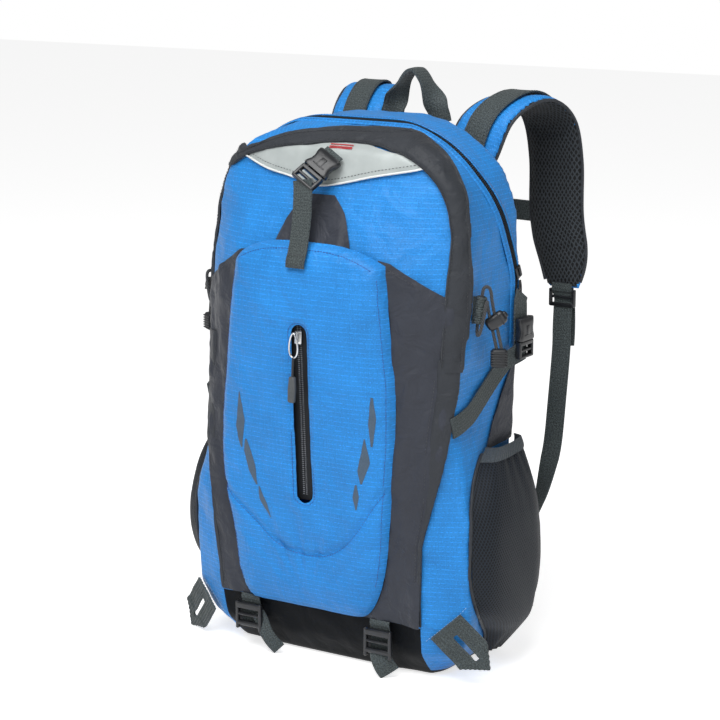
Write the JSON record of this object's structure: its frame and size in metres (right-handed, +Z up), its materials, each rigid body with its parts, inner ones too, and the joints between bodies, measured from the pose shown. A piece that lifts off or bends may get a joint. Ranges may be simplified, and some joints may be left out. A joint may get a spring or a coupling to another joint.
{
  "type": "daypack",
  "caption": "Hiking daypack with two zipped compartments, a front pocket, mesh side pockets, padded shoulder straps, a grab handle and webbing straps with buckles.",
  "frame": {"origin": "middle of the base, on the floor that the pack stands on", "axes": "+Z up the pack, -Y out of the front pocket, +Y out of the padded back, +X to the right as seen from the front"},
  "size_m": [0.342, 0.2747, 0.5371],
  "materials": {
    "blue_nylon": "ripstop nylon, coated inside",
    "grey_nylon": "plain weave nylon",
    "black_nylon": "coated plain weave nylon",
    "air_mesh": "open mesh over foam",
    "pocket_mesh": "stretch mesh",
    "elastic": "ribbed elastic",
    "reflective": "silver coated fabric",
    "webbing": "ribbed polyester webbing",
    "zip_tape": "coil zip on woven tape",
    "metal": "polished",
    "rubber": "matt",
    "black_plastic": "moulded, satin"
  },
  "bodies": {
    "pack": {"back_pads": "air_mesh", "back_panel": "air_mesh", "base_panel": "black_nylon", "base_straps": "webbing", "cord_end_l": "black_plastic", "cord_end_r": "black_plastic", "divider": "grey_nylon", "front_buckle_female": "black_plastic", "front_buckle_tab": "webbing", "front_pocket": "blue_nylon", "front_shell": "blue_nylon", "front_strap": "webbing", "front_zip_flap": "grey_nylon", "handle_anchor": "webbing", "lower_webbing_l": "webbing", "lower_webbing_r": "webbing", "main_shell": "blue_nylon", "main_zip": "zip_tape", "mesh_pocket_l": "pocket_mesh", "mesh_pocket_r": "pocket_mesh", "pocket_hems": "elastic", "pocket_tongue": "grey_nylon", "pocket_wings": "grey_nylon", "pocket_zip": "zip_tape", "pole_tabs": "webbing", "reflective_patch": "reflective", "shock_cord_l": "elastic", "shock_cord_r": "elastic", "side_buckle_female_l": "black_plastic", "side_buckle_female_r": "black_plastic", "side_buckle_tabs": "webbing", "side_panels": "grey_nylon", "side_strap_l": "webbing", "side_strap_r": "webbing", "strap_anchors": "grey_nylon"},
    "main_slider_r": {"main_zip_slider_r": "metal"},
    "main_slider_l": {"main_zip_slider_l": "metal"},
    "main_pull_r": {"main_zip_pull_r": "rubber"},
    "main_pull_l": {"main_zip_pull_l": "rubber"},
    "pocket_slider": {"pocket_zip_slider": "metal"},
    "pocket_ring": {"pocket_zip_ring": "metal"},
    "pocket_grip": {"pocket_zip_grip": "rubber"},
    "front_buckle": {"front_buckle_male": "black_plastic"},
    "side_buckle_r": {"side_buckle_male_r": "black_plastic"},
    "side_buckle_l": {"side_buckle_male_l": "black_plastic"},
    "cord_lock_r": {"cord_lock_r": "black_plastic"},
    "cord_lock_l": {"cord_lock_l": "black_plastic"},
    "base_lock_r": {"base_ladder_lock_r": "black_plastic"},
    "base_lock_l": {"base_ladder_lock_l": "black_plastic"},
    "gear_loop_r": {"gear_loop_r": "webbing"},
    "gear_loop_l": {"gear_loop_l": "webbing"},
    "harness": {"shoulder_pad_r": "air_mesh", "shoulder_pad_l": "air_mesh", "shoulder_webbing": "webbing", "pad_ladder_locks": "black_plastic", "sternum_webbing": "webbing", "sternum_buckle_female": "black_plastic"},
    "sternum_buckle": {"sternum_buckle_male": "black_plastic"},
    "handle": {"grab_handle": "webbing"}
  },
  "joints": [
    {"name": "main_zip_slide_r", "type": "slide", "parent": "pack", "child": "main_slider_r", "axis": [0, -0.4207, 0.9072], "range_m": [0, 0.04]},
    {"name": "main_pull_swing_r", "type": "hinge", "parent": "main_slider_r", "child": "main_pull_r", "pos_m": [0.1377, 0.0475, 0.3515], "axis": [1, 0, 0], "range_deg": [-60, 0]},
    {"name": "side_buckle_release_r", "type": "slide", "parent": "pack", "child": "side_buckle_r", "axis": [0, 0, -1], "range_m": [0, 0.016]},
    {"name": "cord_lock_slide_r", "type": "slide", "parent": "pack", "child": "cord_lock_r", "axis": [0.1887, 0.1225, -0.9744], "range_m": [0, 0.008]},
    {"name": "main_zip_slide_l", "type": "slide", "parent": "pack", "child": "main_slider_l", "axis": [0, -0.4207, 0.9072], "range_m": [0, 0.04]},
    {"name": "main_pull_swing_l", "type": "hinge", "parent": "main_slider_l", "child": "main_pull_l", "pos_m": [-0.1377, 0.0475, 0.3515], "axis": [1, 0, 0], "range_deg": [-60, 0]},
    {"name": "side_buckle_release_l", "type": "slide", "parent": "pack", "child": "side_buckle_l", "axis": [0, 0, -1], "range_m": [0, 0.016]},
    {"name": "cord_lock_slide_l", "type": "slide", "parent": "pack", "child": "cord_lock_l", "axis": [-0.1887, 0.1225, -0.9744], "range_m": [0, 0.008]},
    {"name": "pocket_zip_slide", "type": "slide", "parent": "pack", "child": "pocket_slider", "axis": [0, 0.0578, -0.9983], "range_m": [0, 0.136]},
    {"name": "pocket_ring_swing", "type": "hinge", "parent": "pocket_slider", "child": "pocket_ring", "pos_m": [-0.003, -0.108, 0.3145], "axis": [1, 0, 0], "range_deg": [-100, 0]},
    {"name": "pocket_grip_swing", "type": "hinge", "parent": "pocket_ring", "child": "pocket_grip", "pos_m": [-0.003, -0.108, 0.2925], "axis": [1, 0, 0], "range_deg": [-30, 5]},
    {"name": "front_buckle_release", "type": "slide", "parent": "pack", "child": "front_buckle", "axis": [-0.3842, -0.7092, -0.5911], "range_m": [0, 0.016]},
    {"name": "base_lock_flip_r", "type": "hinge", "parent": "pack", "child": "base_lock_r", "pos_m": [0.067, -0.078, 0.045], "axis": [1, 0, 0], "range_deg": [-35, 0]},
    {"name": "base_lock_flip_l", "type": "hinge", "parent": "pack", "child": "base_lock_l", "pos_m": [-0.076, -0.078, 0.045], "axis": [1, 0, 0], "range_deg": [-35, 0]},
    {"name": "gear_loop_swing_r", "type": "hinge", "parent": "pack", "child": "gear_loop_r", "pos_m": [0.1314, -0.0663, 0.0572], "axis": [0.6969, 0.225, 0.6809], "range_deg": [-60, 0]},
    {"name": "gear_loop_swing_l", "type": "hinge", "parent": "pack", "child": "gear_loop_l", "pos_m": [-0.1314, -0.0663, 0.0422], "axis": [0.6969, -0.225, -0.6809], "range_deg": [-60, 0]},
    {"name": "harness_swing", "type": "hinge", "parent": "pack", "child": "harness", "pos_m": [0, 0.062, 0.455], "axis": [1, 0, 0], "range_deg": [0, 12]},
    {"name": "sternum_release", "type": "slide", "parent": "harness", "child": "sternum_buckle", "axis": [-1, 0, 0], "range_m": [0, 0.016]},
    {"name": "handle_swing", "type": "hinge", "parent": "pack", "child": "handle", "pos_m": [0.008, 0.078, 0.487], "axis": [1, 0, 0], "range_deg": [-45, 15]}
  ]
}
